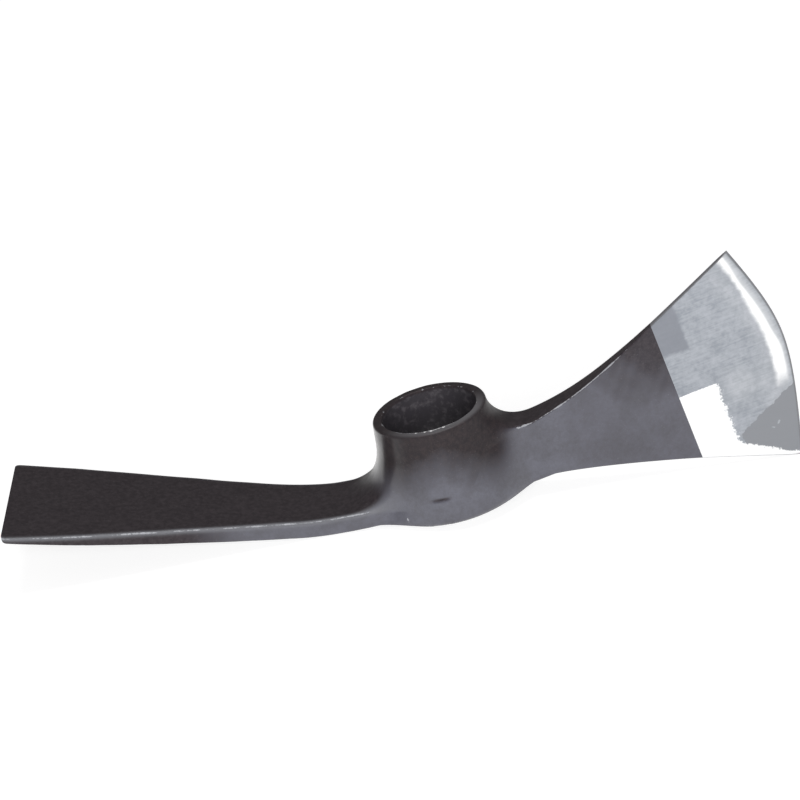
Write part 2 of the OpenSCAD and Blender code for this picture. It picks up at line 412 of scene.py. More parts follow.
    def build(self, bench: Bench) -> bpy.types.Object:
        """Carry the outline round the bore and press the hammer marks into the outside.

        Args:
            bench: How the head lies.

        Returns:
            The eye as a closed ring.
        """
        radius, height, rim = self.profile()
        turn = np.linspace(0.0, 2.0 * math.pi, self.turns, endpoint=False)
        r, h = radius[:, None], height[:, None]
        outer = soft_step(r, self.bore_r + 2.0, self.bore_r + 3.3) * (np.abs(h) < self.half - 0.05)
        r_all = r + outer * self.wave * ripple(self.arc * turn, h, self.wave_pitch)
        # Rim wear, with painted glints on the lip.
        wear = self.rubbed(r, h, rim[:, None], turn)
        # Pale lip band: partly worn lacquer, partly a painted highlight.
        lip = self.worn_lip_highlight(r, h, turn)
        soot = soft_step(-r_all, -self.bore_r - self.soot_gap, -self.bore_r)
        soot = soot * soft_step(self.half - h, *self.soot_band)
        scale = np.zeros_like(r_all)
        for mark in self.marks:
            dent = outer * mark.depth(np.degrees(turn), h)
            r_all = r_all - mark.deep * dent
            if mark.bare:
                wear = np.maximum(wear, self.bare_wear * dent)
            else:
                # Dents that are not rubbed bare are darkened, more where they are deeper.
                scale = np.maximum(scale, np.minimum(2.0 * mark.deep, 1.0) * dent)
        waver = np.abs(self.waver * ripple(self.arc * turn, r, self.waver_pitch))
        waver = waver * soft_step(h, self.half - self.roll_depth, self.half)
        points = np.stack([r_all * np.sin(turn), -r_all * np.cos(turn), h - waver], axis=-1)
        values = {"wear": wear, "soot": soot, "scale": scale, "lip": lip}
        return make_piece("eye_socket_forged", [Patch(points, values, True)], bench)


# ---------------------------------------------------------------- blades


class Section(NamedTuple):
    """Sizes of a blade's section: half width, underside, top, lower and upper corner radius."""

    half_w: np.ndarray
    low: np.ndarray
    top: np.ndarray
    low_r: np.ndarray
    top_r: np.ndarray


class SectionPath:
    """Way round a blade's section: a rectangle with rounded corners, as whole arrays.

    It starts in the middle of the underside, goes up the +y side, over the top and back
    down the -y side. Each place holds the weights that its y and z take from the section, and
    partner is the number of the place across from each one of the first half.
    """

    on_corner: float = 0.3

    def __init__(self, under: int, corner: int, side: int, top: int) -> None:
        """Lay out the places of one half and mirror them.

        Args:
            under: Places on half of the underside.
            corner: Places on a corner.
            side: Places up a side.
            top: Places on half of the top.
        """
        u = np.linspace(0.0, 1.0, under, endpoint=False)
        c = np.linspace(0.0, math.pi / 2.0, corner, endpoint=False)
        s = np.linspace(0.0, 1.0, side, endpoint=False)
        t = np.linspace(1.0, 0.0, top)
        one = np.ones_like
        zero = np.zeros_like
        flat = np.concatenate([u, one(c), one(s), one(c), t])
        low_c = np.concatenate([zero(u), np.sin(c), one(s), one(c), one(t)])
        low_s = np.concatenate([-one(u), -np.cos(c), zero(s), zero(c), zero(t)])
        top_c = np.concatenate([one(u), one(c), one(s), np.cos(c), zero(t)])
        top_s = np.concatenate([zero(u), zero(c), zero(s), np.sin(c), one(t)])
        up = np.concatenate([zero(u), zero(c), s, one(c), one(t)])
        half = np.stack([flat, up, low_c, low_s, top_c, top_s])
        whole = np.concatenate([half, half[:, -2:0:-1]], axis=1)
        self.flat, self.up, self.low_c, self.low_s, self.top_c, self.top_s = whole
        self.half, self.count = half.shape[1], whole.shape[1]
        self.sign = np.concatenate([np.ones(self.half), -np.ones(self.half - 2)])
        self.partner = -np.arange(self.half)

    def place(self, size: Section) -> tuple[np.ndarray, np.ndarray]:
        """y and z at every place, for sizes that may differ from place to place.

        Args:
            size: Sizes of the section.

        Returns:
            The places' y and z.
        """
        low_y = (size.half_w - size.low_r) * self.flat + size.low_r * self.low_c
        top_y = (size.half_w - size.top_r) * self.flat + size.top_r * self.top_c
        low_z = size.low + size.low_r * (1.0 + self.low_s)
        top_z = size.top - size.top_r * (1.0 - self.top_s)
        return self.sign * mix(low_y, top_y, self.up), mix(low_z, top_z, self.up)

    def edge_gap(self, size: Section) -> tuple[np.ndarray, np.ndarray]:
        """Distance of every place from the upper and from the lower corner.

        A corner's point is taken about the middle of its arc, which lies some 0.3 of its radius
        in from both faces.

        Args:
            size: Sizes of the section.

        Returns:
            Distances to the upper corner and to the lower one.
        """
        y, z = self.place(size)
        low_in, top_in = self.on_corner * size.low_r, self.on_corner * size.top_r
        y = size.half_w - np.abs(y)
        upper = np.hypot(y - top_in, size.top - top_in - z)
        lower = np.hypot(y - low_in, z - size.low - low_in)
        return upper, lower


@dataclass(frozen=True)
class Reach:
    """Reach of a root fillet: on top, at the side's upper and lower end, and underneath."""

    top: float
    side: float
    low: float
    under: float

    def at(self, up: np.ndarray, n_s: np.ndarray, n_z: np.ndarray) -> np.ndarray:
        """Reach at a share up of the side, facing (n_s, n_z) on the unrolled wall."""
        face = np.where(n_z > 0.0, self.top, self.under)
        return mix(self.low, self.side, up) * n_s**2 + face * n_z**2


class Blade:
    """A blade whose root flows into the eye through a fillet of cubic curves.

    pull is the length of a curve's handles as a share of its reach, and first_run the length
    over which its first direction is taken. foot_gap keeps the rim above the eye's foot, and
    deep and saddle_deep set the rim and the saddle below the eye's wall.
    """

    side: Side
    eye: Eye
    path: SectionPath
    on_blade: Reach
    on_eye: Reach
    pull: float = 0.6
    fillet_rows: int = 26
    first_run: float = 2.0
    foot_gap: float = 0.4
    deep: float = 0.03
    saddle_deep: float = 1.2
    corner_share: float = 0.4

    def line(self, along: np.ndarray) -> np.ndarray:
        """Points on the blade's skin, at a distance along it for each place of the path."""
        raise NotImplementedError

    def meet_eye(self) -> np.ndarray:
        """Distance along the blade at which each place of the bare section meets the eye.

        The distance is halved in on, since a place is inside the eye before it and outside
        after it.

        Returns:
            One distance for each place of the path.
        """
        low, high = np.full(self.path.count, 4.0), np.full(self.path.count, 60.0)
        for _ in range(40):
            mid = (low + high) / 2.0
            p = self.line(mid)
            out = np.hypot(p[:, 0], p[:, 1]) > self.eye.wall(p[:, 2])
            low, high = np.where(out, low, mid), np.where(out, mid, high)
        return (low + high) / 2.0

    def root(self) -> tuple[np.ndarray, np.ndarray, np.ndarray]:
        """Fillet between blade and eye.

        The bare section meets the eye on a closed curve. On the eye's unrolled wall, each
        place moves outwards from that curve by the fillet's reach; along the blade it moves
        back by the other reach. A cubic curve joins the two ends. Its first tangent lies along
        the blade, level across it, and its last one along the wall.

        Returns:
            The fillet's rows from the eye to the blade, the angle and height of its rim on
            the eye, and the distance along the blade where it ends.
        """
        meet = self.meet_eye()
        p = self.line(meet)
        phi = np.arctan2(p[:, 1], self.side.value * p[:, 0])
        radius = self.eye.wall(p[:, 2])
        s, z = radius * phi, p[:, 2]
        t_s = np.roll(s, -1) - np.roll(s, 1)
        t_z = np.roll(z, -1) - np.roll(z, 1)
        size = np.hypot(t_s, t_z)
        n_s, n_z = t_z / size, -t_s / size
        reach = self.on_eye.at(self.path.up, n_s, n_z)
        end_phi = phi + reach * n_s / radius
        lowest, highest = self.foot_gap - self.eye.half, self.eye.half - self.eye.mouth_round
        end_z = np.clip(z + reach * n_z, lowest, highest)
        run_s, run_z = reach * n_s, end_z - z
        run = np.hypot(run_s, run_z)
        start = meet + self.on_blade.at(self.path.up, n_s, n_z)
        p0 = self.line(start)
        to_eye = self.line(start - self.first_run) - p0
        to_eye[:, 1] = 0.0
        to_eye /= np.linalg.norm(to_eye, axis=1, keepdims=True)
        p3 = self.eye.on_wall(self.side, end_phi, end_z, self.deep)
        step = 0.02
        ahead = self.eye.on_wall(
            self.side, end_phi + step * run_s / (run * radius), end_z + step * run_z / run,
            self.deep)
        along_wall = (ahead - p3) / np.linalg.norm(ahead - p3, axis=1, keepdims=True)
        arm0 = np.linalg.norm(self.line(meet) - p0, axis=1, keepdims=True) * self.pull
        arm3 = (run * self.pull)[:, None]
        p1, p2 = p0 + to_eye * arm0, p3 - along_wall * arm3
        t = np.linspace(1.0, 0.0, self.fillet_rows)[:, None, None]
        rows = ((1 - t) ** 3 * p0 + 3 * t * (1 - t) ** 2 * p1
                + 3 * t**2 * (1 - t) * p2 + t**3 * p3)
        return rows, np.stack([end_phi, end_z]), start

    def saddle(self, rim: np.ndarray, steps: int = 24) -> Patch:
        """Close the root with a saddle that lies inside the eye's wall.

        Each row runs from a place of the rim to its mirror, straight on the unrolled wall.

        Args:
            rim: Angle and height of the fillet's rim on the eye.
            steps: Points along a row.

        Returns:
            The saddle's grid.
        """
        t = np.linspace(0.0, 1.0, steps)
        phi, z = mix(rim[:, :self.path.half, None], rim[:, self.path.partner, None], t)
        arch = np.minimum(1.0, 6.0 * t * (1.0 - t))
        sunk = self.deep + self.saddle_deep * arch * np.ones_like(phi)
        sunk[0], sunk[-1] = self.deep, self.deep
        return Patch(self.eye.on_wall(self.side, phi, z, sunk))

    def lid(self, skin: Patch, end: int, steps: int = 8) -> Patch:
        """Close an end of a skin with straight rows between its two sides.

        Args:
            skin: Grid whose rows go round the blade, in the path's order.
            end: Number of the row to close.
            steps: Points along a row of the lid.

        Returns:
            The lid's grid.
        """
        t = np.linspace(0.0, 1.0, steps)[:, None]

        def across(a: np.ndarray) -> np.ndarray:
            """Rows from each place of the first half to its mirror."""
            return mix(a[:self.path.half, None], a[self.path.partner, None], t)

        values = {k: across(v[end][:, None])[..., 0] for k, v in skin.values.items()}
        return Patch(across(skin.points[end]), values)

    def skin(self, along: np.ndarray, values: dict[str, np.ndarray]) -> Patch:
        """The blade's own skin, with its values, at the distances along it."""
        return Patch(self.line(along), values, True)

    def flow(self, rows: np.ndarray, skin: Patch, fade: np.ndarray) -> Patch:
        """The fillet's skin, which takes up the blade's first values as fast as fade says."""
        return Patch(rows, {k: v[:1] * fade for k, v in skin.values.items()}, True)


@dataclass
class Adze(Blade):
    """Cross-set blade, in millimetres; x counts outwards from the middle of the bore.

    nick is the place of a small bare spot on the root, nick_r and nick_h its size.
    """

    eye: Eye
    reach: float = 182.0
    edge_w: float = 70.0
    root_w: float = 34.4
    root_t: float = 7.8
    edge_t: float = 2.6
    pitch: float = math.radians(16.5)
    bend_x: float = 53.7
    bend_len: float = 13.7
    drop: float = 11.4
    corner_r: float = 2.0
    flare_x: float = 47.7
    edge_break: float = 1.7
    low_break: float = 0.96
    bit_top: float = 8.0
    bit_under: float = 34.0
    wave: float = 0.10
    wave_pitch: float = 46.0
    top_wear: float = 0.74
    low_wear: float = 0.6
    edge_wear: float = 0.5
    nick_wear: float = 0.9
    scale_from: float = 83.0
    scale_to: float = 113.0
    nick: Place = (-19.3, -21.8, -16.5)
    nick_r: float = 1.1
    nick_h: float = 2.6

    def __post_init__(self) -> None:
        """Set the way round the section and the fillet's reaches."""
        self.side = Side.ADZE
        self.path = SectionPath(under=44, corner=14, side=9, top=44)
        self.on_blade = Reach(top=20.0, side=10.0, low=14.5, under=6.8)
        self.on_eye = Reach(top=22.0, side=8.0, low=16.4, under=2.4)

    def half_w(self, x: np.ndarray) -> np.ndarray:
        """Half width: a spread between straight and smooth, less the corner's rounding."""
        q = share(x, self.flare_x, self.reach)
        spread = (q + q * q * (3.0 - 2.0 * q)) / 2.0
        d = np.clip(self.corner_r - (self.reach - x), 0.0, self.corner_r)
        corner = self.corner_r - np.sqrt(self.corner_r**2 - d * d)
        return mix(self.root_w, self.edge_w, spread) / 2.0 - corner

    def face(self, x: np.ndarray) -> np.ndarray:
        """Height of the upper face: level, then rising at the pitch after a soft bend."""
        return math.tan(self.pitch) * bend(x - self.bend_x, self.bend_len) - self.drop

    def thick(self, x: np.ndarray) -> np.ndarray:
        """Thickness, falling with the square of the way to the edge."""
        return mix(self.root_t, self.edge_t, share(x, self.flare_x, self.reach) ** 2)

    def sizes(self, x: np.ndarray) -> Section:
        """Section at x: its corners' radii are cut to a share of a thin edge."""
        top = self.face(x)
        thick = self.thick(x)
        most = self.corner_share * thick
        return Section(self.half_w(x), top - thick, top,
                       np.minimum(self.low_break, most), np.minimum(self.edge_break, most))

    def line(self, along: np.ndarray) -> np.ndarray:
        """Points of the skin: the section's y and z, at -x, with a slight wave in its faces."""
        y, z = self.path.place(self.sizes(along))
        wave = self.wave * ripple(along, y, self.wave_pitch) * soft_step(along, 40.0, 60.0)
        wave = wave * np.isin(self.path.up, (0.0, 1.0)) * share(self.reach - along, 0.0, 30.0)
        return np.stack([-along, y, z + wave], axis=-1)

    def seam(self) -> np.ndarray:
        """Distance out at which the edge steel begins at each place: a scarf over the side."""
        return mix(self.reach - self.bit_under, self.reach - self.bit_top, self.path.up)

    def values(self, along: np.ndarray) -> dict[str, np.ndarray]:
        """Nearness to the rubbed edges, a darkening that grows towards the edge, and a pale band
        along
        the upper edges: partly worn lacquer, partly a painted highlight.
        """
        upper, lower = self.path.edge_gap(self.sizes(along))
        near = self.top_wear * halo(upper / 0.6) + self.low_wear * halo(lower / 0.5)
        near += self.edge_wear * halo((self.reach - along) / 1.2)
        scale = soft_step(along, self.scale_from, self.scale_to)
        # worn: pale band along the upper edges, partly worn lacquer, partly a painted highlight.
        return {"wear": np.clip(near, 0.0, 1.0), "scale": scale, "worn": halo(upper / 1.15)}

    def build(self, bench: Bench) -> list[bpy.types.Object]:
        """Skin the blade from the eye to its steel edge, and the edge beyond it.

        Args:
            bench: How the head lies.

        Returns:
            The blade and its steel edge.
        """
        rows, rim, start = self.root()
        seam = self.seam()
        along = mix(start, seam, np.linspace(0.0, 1.0, 190)[:, None])
        skin = self.skin(along, self.values(along))
        root = self.flow(rows, skin, np.linspace(0.0, 1.0, len(rows))[:, None] ** 2)
        off = rows - np.array(self.nick)
        gap = np.hypot(np.hypot(off[..., 0], off[..., 1]) / self.nick_r, off[..., 2] / self.nick_h)
        root.values["wear"] = np.maximum(root.values["wear"], self.nick_wear * halo(gap))
        blade = make_piece("adze_blade_forged", [
            root, skin, self.saddle(rim), self.lid(skin, -1)], bench)
        close = 1.0 - (1.0 - np.linspace(0.0, 1.0, 70)[:, None]) ** 1.6
        along = mix(seam, np.full_like(seam, self.reach), close)
        skin = self.skin(along, self.values(along))
        bit = make_piece("adze_bit_forged", [skin, self.lid(skin, 0), self.lid(skin, -1)], bench)
        return [blade, bit]


@dataclass(frozen=True)
class StoneWork:
    """Painted reflections and sheen on the axe's steel, laid out along what the stones left, in
    millimetres.

    x runs along the axe's middle line, z up from it, and gap is the distance in from the
    edge. rag is a small ripple that unsettles the borders.
    """

    lap_end: float = 123.6
    lap_top: float = -3.3
    foot_at: tuple[float, float] = (124.0, -34.6)
    foot_fall: float = 0.64
    band_in: tuple[float, float] = (2.6, 4.0)
    band_out: tuple[float, float] = (8.7, 6.0)
    band_end: tuple[float, float] = (-18.5, -7.5)
    bevel_sheen: float = 0.3
    wash_sheen: float = 0.08
    wash_wide: float = 17.0
    cloud_sheen: float = 0.14
    cloud_at: tuple[float, float] = (131.0, -9.0)
    cloud_size: tuple[float, float] = (9.0, 8.0)
    coarse_end: float = 115.4
    coarse_low: tuple[float, float] = (15.2, 17.0)
    dull_at: tuple[float, float] = (123.3, -29.6)
    dull_rise: float = 0.5
    dull_start: float = 122.4
    strokes: tuple[tuple[float, float, float, float], ...] = (
        (139.2, -31.4, 0.75, 1.9), (136.2, -32.9, -0.4, 1.1))

    def honed(self, x: np.ndarray, z: np.ndarray, rag: np.ndarray) -> np.ndarray:
        """Painted white reflection: a lap inboard and the bit's lower foot."""
        lap = soft_step(self.lap_end + 0.8 * rag - x, 0.0, 6.0)
        lap = lap * soft_step(self.lap_top - z, 0.0, 0.7)
        at_x, at_z = self.foot_at
        foot = soft_step(at_z - self.foot_fall * (x - at_x) - z + 0.5 * rag, 0.0, 3.2)
        return np.clip(lap + foot, 0.0, 1.0)

    def sheen(self, x: np.ndarray, z: np.ndarray, gap: np.ndarray, rag: np.ndarray) -> np.ndarray:
        """Painted sheen: a bright band inside the bevel, painted shade that darkens the bevel
        towards the edge, a wash beside the band and a cloud.
        """
        inner = mix(*self.band_in, soft_step(z, 0.0, 12.0) - 0.9 * soft_step(z, 34.0, 47.0))
        wide = mix(*self.band_out, soft_step(z, 17.0, 42.0))
        band = soft_step(gap, inner - 1.2, inner + 0.7)
        band = band * soft_step(wide + 0.4 * rag - gap, 0.0, 2.4)
        bevel = self.bevel_sheen * soft_step(gap, 0.4, inner) * (gap < inner)
        sheen = soft_step(z + 0.8 * rag, *self.band_end) * np.maximum(band, bevel)
        sheen += self.wash_sheen * soft_step(self.wash_wide - gap, 0.0, 9.0)
        (at_x, at_z), (size_x, size_z) = self.cloud_at, self.cloud_size
        cloud = halo((x - at_x) / size_x, (z - at_z) / size_z)
        return np.clip(sheen + self.cloud_sheen * cloud, 0.0, 1.0)

    def coarse(self, x: np.ndarray, z: np.ndarray, rag: np.ndarray) -> np.ndarray:
        """Upper inboard corner, left from the coarse stone, painted darker as a dark reflection."""
        inboard = soft_step(self.coarse_end + 0.5 * rag - x, -0.7, 0.7)
        return inboard * soft_step(z + 0.6 * rag, *self.coarse_low)

    def dull(self, x: np.ndarray, z: np.ndarray, rag: np.ndarray) -> np.ndarray:
        """Painted grey reflection near the lower corner, crossed by a few strokes that are less
        grey.
        """
        at_x, at_z = self.dull_at
        dull = soft_step(at_z + self.dull_rise * (x - at_x) + 0.9 * rag - z, 0.0, 1.2)
        for mid_x, mid_z, lean, long in self.strokes:
            run = (x - mid_x) * math.cos(lean) + (z - mid_z) * math.sin(lean)
            off = (z - mid_z) * math.cos(lean) - (x - mid_x) * math.sin(lean)
            dull = dull - 0.7 * halo(run / long, (off + 0.3 * rag) / 0.6)
        return np.clip(dull, 0.0, 1.0) * soft_step(x - self.dull_start + 0.6 * rag, 0.0, 1.2)


@dataclass
class Axe(Blade):
    """Flared blade in line with the handle, drawn along its own middle line."""

    eye: Eye
    reach: float = 153.7
    edge_h: float = 101.0
    crown: float = 9.8
    crown_z: float = 9.6
    crown_len: float = 24.9
    root_h: float = 26.7
    root_t: float = 14.6
    taper: float = 0.8
    flare_x: float = 61.4
    flare_len: float = 28.2
    heel_x: float = 30.0
    heel_len: float = 40.6
    flare_from: float = 43.5
    cant: float = math.radians(8.3)
    drop: float = 12.8
    bit_depth: float = 49.9
    bit_t: float = 3.2
    bevel_t: float = 2.6
    bevel_w: float = 6.0
    edge_t: float = 0.5
    edge_break: float = 0.9
    low_wear: float = 0.5
    scale_r: float = 40.0
    stones: StoneWork = StoneWork()

    def __post_init__(self) -> None:
        """Set the way round the section and the fillet's reaches."""
        self.side = Side.AXE
        self.path = SectionPath(under=8, corner=12, side=100, top=8)
        self.on_blade = Reach(top=17.0, side=13.1, low=11.0, under=9.0)
        self.on_eye = Reach(top=15.0, side=12.4, low=40.0, under=1.0)

    @property
    def tip_x(self) -> float:
        """Distance out to the line between the edge's corners."""
        return self.reach - self.crown

    @property
    def bit_x(self) -> float:
        """Distance out to the start of the ground steel."""
        return self.reach - self.bit_depth

    def grown(self, x: np.ndarray, start: float, over: float) -> np.ndarray:
        """Half height: level, then flaring straight out after a soft bend.

        Args:
            x: Distance along the middle line.
            start: Where the flare starts.
            over: Length over which it sets in.

        Returns:
            Half heights that end at the edge's corner.
        """
        root = bend(np.array(self.flare_from - start), over)
        spread = np.maximum(bend(x - start, over) - root, 0.0)
        full = bend(np.array(self.tip_x - start), over) - root
        return mix(self.root_h, self.edge_h, spread / full) / 2.0

    def top_h(self, x: np.ndarray) -> np.ndarray:
        """Height of the upper edge above the middle line."""
        return self.grown(x, self.flare_x, self.flare_len)

    def low_h(self, x: np.ndarray) -> np.ndarray:
        """Depth of the lower edge below the middle line."""
        return self.grown(x, self.heel_x, self.heel_len)

    def level(self, x: np.ndarray, z: np.ndarray) -> np.ndarray:
        """Height as a share of the way to the upper edge, or below 0 to the lower one."""
        return np.clip(np.where(z > 0.0, z / self.top_h(x), z / self.low_h(x)), -1.0, 1.0)

    def half_t(self, x: np.ndarray) -> np.ndarray:
        """Half thickness: a hollow taper to the steel, a fine one to the bevel, then the
        bevel, which falls with the square of the way across it."""
        bevel_x = self.tip_x - self.bevel_w
        body = mix(self.root_t, self.bit_t, share(x, self.flare_from, self.bit_x) ** self.taper)
        steel = mix(self.bit_t, self.bevel_t, share(x, self.bit_x, bevel_x))
        steel = mix(steel, self.edge_t, share(x, bevel_x, self.tip_x) ** 2)
        return np.where(x > self.bit_x, steel, body) / 2.0

    def rise(self, z: np.ndarray) -> np.ndarray:
        """Hyperbola about the crown, measured from the line between the edge's corners."""
        half = self.edge_h / 2.0
        low, high, arm = (
            np.hypot(q - self.crown_z, self.crown_len) for q in (-half, half, z))
        return mix(low, high, z / self.edge_h + 0.5) - arm

    def bow(self, level: np.ndarray) -> np.ndarray:
        """How far the edge stands out from its corners' line at a share of its height."""
        return self.crown * self.rise(level * self.edge_h / 2.0) / self.rise(self.crown_z)

    def sizes(self, x: np.ndarray) -> Section:
        """Section at x: its corners' radii are cut to a share of a thin edge."""
        t = self.half_t(x)
        r = np.minimum(self.edge_break, self.corner_share * t)
        return Section(t, -self.low_h(x), self.top_h(x), r, r)

    def stand(self, x: np.ndarray, y: np.ndarray, z: np.ndarray) -> np.ndarray:
        """Points along the middle line, leant up by the cant from the bore's axis.

        Args:
            x: Distance along the middle line.
            y: Distance across it.
            z: Height from it.

        Returns:
            Points in the eye's frame.
        """
        c, s = math.cos(self.cant), math.sin(self.cant)
        return np.stack([x * c - z * s, y, x * s + z * c - self.drop], axis=-1)

    def line(self, along: np.ndarray) -> np.ndarray:
        """Points of the skin: the section's places, bowed out to the edge's curve."""
        y, z = self.path.place(self.sizes(along))
        s = share(along, self.bit_x, self.tip_x)
        return self.stand(along + s * self.bow(self.level(along, z)), y, z)

    def values(self, along: np.ndarray) -> dict[str, np.ndarray]:
        """Nearness to the rubbed edges, and a darkening about the steel's upper corner and,
        slighter, over the blade beyond its root.
        """
        upper, lower = self.path.edge_gap(self.sizes(along))
        fade = mix(0.3, 1.0, soft_step(99.0 - along, 0.0, 16.0))
        near = fade * halo(upper / 0.55) + self.low_wear * halo(lower / 0.6)
        _, z = self.path.place(self.sizes(along))
        top = self.top_h(np.array(self.bit_x))
        gap = np.hypot((self.bit_x - along) / self.scale_r, (top - z) / self.scale_r)
        scale = 0.9 * soft_step(1.15 - gap + 0.10 * ripple(along, z, 17.0), 0.0, 0.95)
        scale = np.maximum(scale, 0.15 * soft_step(along, 48.0, 66.0))
        return {"wear": np.clip(near, 0.0, 1.0), "scale": scale}

    def ground(self, along: np.ndarray) -> dict[str, np.ndarray]:
        """Values of the ground steel: painted reflections and sheen, and the lacquered rim. Only
        the near side keeps the white, grey and upper corner reflections.

        Args:
            along: Distance along the middle line to the corners' line, for each place.

        Returns:
            The white places: a painted reflection; sheen: a painted sheen and painted shade across
                the
            bevel; the grey places and coarse: painted grey and dark reflections, the coarse one on
            a strip the coarse stone left; outer: the very edge, painted darker as shade; rim: the
            narrow upper and lower faces, which keep their lacquer.
        """
        y, z = self.path.place(self.sizes(along))
        s = share(along, self.bit_x, self.tip_x)
        level = self.level(along, z)
        x = along + s * self.bow(level)
        lean = (self.bow(level + 0.01) - self.bow(level - 0.01)) / (0.01 * self.edge_h)
        gap = (1.0 - s) * (self.tip_x - self.bit_x + self.bow(level)) / np.hypot(1.0, lean)
        rim = soft_step(np.maximum(z - self.top_h(along), -self.low_h(along) - z), -0.5, -0.2)
        near = y < 0.0
        rag = 0.6 * ripple(x, z, 11.0) + 0.5 * ripple(z, x, 3.3)
        stones = self.stones
        return {"honed": stones.honed(x, z, rag) * near, "sheen": stones.sheen(x, z, gap, rag),
                "dull": stones.dull(x, z, rag) * near, "coarse": stones.coarse(x, z, rag) * near,
                "rim": rim, "outer": soft_step(1.0 - gap, 0.0, 0.5)}

    def build(self, bench: Bench) -> list[bpy.types.Object]:
        """Skin the blade from the eye to its ground steel, and the steel beyond it.

        Args:
            bench: How the head lies.

        Returns:
            The blade and its ground steel.
        """
        rows, rim, start = self.root()
        seam = np.full_like(start, self.bit_x)
        along = mix(start, seam, np.linspace(0.0, 1.0, 110)[:, None])
        skin = self.skin(along, self.values(along))
        fade = soft_step(np.linspace(0.0, 1.0, len(rows))[:, None], 0.4, 0.95)
        blade = make_piece("axe_blade_forged", [
            self.flow(rows, skin, fade), skin, self.saddle(rim), self.lid(skin, -1)], bench)
        self.path = SectionPath(under=5, corner=5, side=170, top=5)
        s = np.concatenate([np.linspace(0.0, 0.84, 84), np.linspace(0.84, 1.0, 37)[1:]])
        along = mix(self.bit_x, self.tip_x, s)[:, None] * np.ones(self.path.count)
        skin = self.skin(along, self.ground(along))
        bit = make_piece("axe_bit_ground", [
            skin, self.lid(skin, 0), self.lid(skin, -1)], bench, sharp=32.0)
        return [blade, bit]


# ---------------------------------------------------------------- materials


class Tree:
    """A node tree with short calls for adding nodes and joining them."""

    def __init__(self, tree: bpy.types.NodeTree) -> None:
        """Keep the tree."""
        self.tree = tree

    def add(self, kind: str, inputs: dict | None = None, **settings: object) -> bpy.types.Node:
        """Add a node.

        Args:
            kind: Class name of the node.
            inputs: Value or output socket for each named or numbered input.
            settings: Properties of the node.

        Returns:
            The new node.
        """
        node = self.tree.nodes.new(kind)
        for name, value in settings.items():
            setattr(node, name, value)
        self.feed(node, inputs or {})
        return node

    def math(self, kind: str, a: object, b: object = 0.0) -> bpy.types.NodeSocket:
        """Output of a Math node on two values."""
        return self.add("ShaderNodeMath", {0: a, 1: b}, operation=kind).outputs[0]

    def plus(self, a: object, b: object, weight: object) -> bpy.types.NodeSocket:
        """Output of a plus b times a weight."""
        return self.math("ADD", a, self.math("MULTIPLY", b, weight))

    def ramp(self, value: bpy.types.NodeSocket, a: float, b: float) -> bpy.types.NodeSocket:
        """Output of a smooth Map Range from a to b."""
        return self.add("ShaderNodeMapRange", {0: value, 1: a, 2: b},
                        interpolation_type="SMOOTHSTEP").outputs[0]

    def blend(self, fac: object, a: object, b: object) -> bpy.types.NodeSocket:
        """Output of a colour Mix."""
        return self.add("ShaderNodeMix", {0: fac, 6: a, 7: b}, data_type="RGBA").outputs[2]

    def noise(self, vector: bpy.types.NodeSocket, scale: float, detail: float = 3.0,
              rough: float = 0.55) -> bpy.types.NodeSocket:
        """Value output of a Noise Texture."""
        return self.add("ShaderNodeTexNoise", {
            "Vector": vector, "Scale": scale, "Detail": detail, "Roughness": rough}).outputs[0]

    def group(self, group: bpy.types.NodeTree, inputs: dict) -> bpy.types.Node:
        """Place a node group and feed its inputs."""
        return self.add("ShaderNodeGroup", inputs, node_tree=group)

    def feed(self, node: bpy.types.Node, inputs: dict) -> None:
        """Link or set a node's inputs.

        Args:
            node: The node.
            inputs: Value or output socket for each named or numbered input.
        """
        for name, value in inputs.items():
            if isinstance(value, bpy.types.NodeSocket):
                self.tree.links.new(value, node.inputs[name])
            else:
                node.inputs[name].default_value = value

    def value(self, name: str) -> bpy.types.NodeSocket:
        """Value of a mesh attribute."""
        return self.add("ShaderNodeAttribute", attribute_name=name).outputs["Fac"]


def new_group(name: str, ins: list[tuple[str, str, float]], outs: list[tuple[str, str]]
              ) -> tuple[bpy.types.NodeTree, Tree, bpy.types.Node, bpy.types.Node]:
    """Start a shader node group.

    Args:
        name: Name of the group.
        ins: Name, kind and starting value of each input.
        outs: Name and kind of each output.

    Returns:
        The group, its tree, and its input and output nodes.
    """
    group = bpy.data.node_groups.new(name, "ShaderNodeTree")
    for label, kind, start in ins:
        socket = group.interface.new_socket(label, in_out="INPUT", socket_type="NodeSocket" + kind)
        if kind == "Float":
            socket.default_value = start
    for label, kind in outs:
        group.interface.new_socket(label, in_out="OUTPUT", socket_type="NodeSocket" + kind)
    tree = Tree(group)
    return group, tree, tree.add("NodeGroupInput"), tree.add("NodeGroupOutput")


def edge_wear_group() -> bpy.types.NodeTree:
    """Rubbed edges: nearness to an edge, broken up by a coarse and a fine noise."""
    group, t, gi, go = new_group(
        "edge_wear", [("Vector", "Vector", 0), ("Nearness", "Float", 0), ("Amount", "Float", 0.5)],
        [("Mask", "Float")])
    where, near = gi.outputs["Vector"], gi.outputs["Nearness"]
    fine = t.noise(where, 900.0, 4.0, 0.7)
    coarse = t.noise(where, 90.0, 2.0)
    both = t.plus(t.math("MULTIPLY", fine, 0.55), coarse, 0.9)
    level = t.plus(both, near, gi.outputs["Amount"])
    t.feed(go, {"Mask": t.math("MULTIPLY", t.ramp(level, 1.12, 1.26), t.ramp(near, 0.12, 0.5))})
    return group


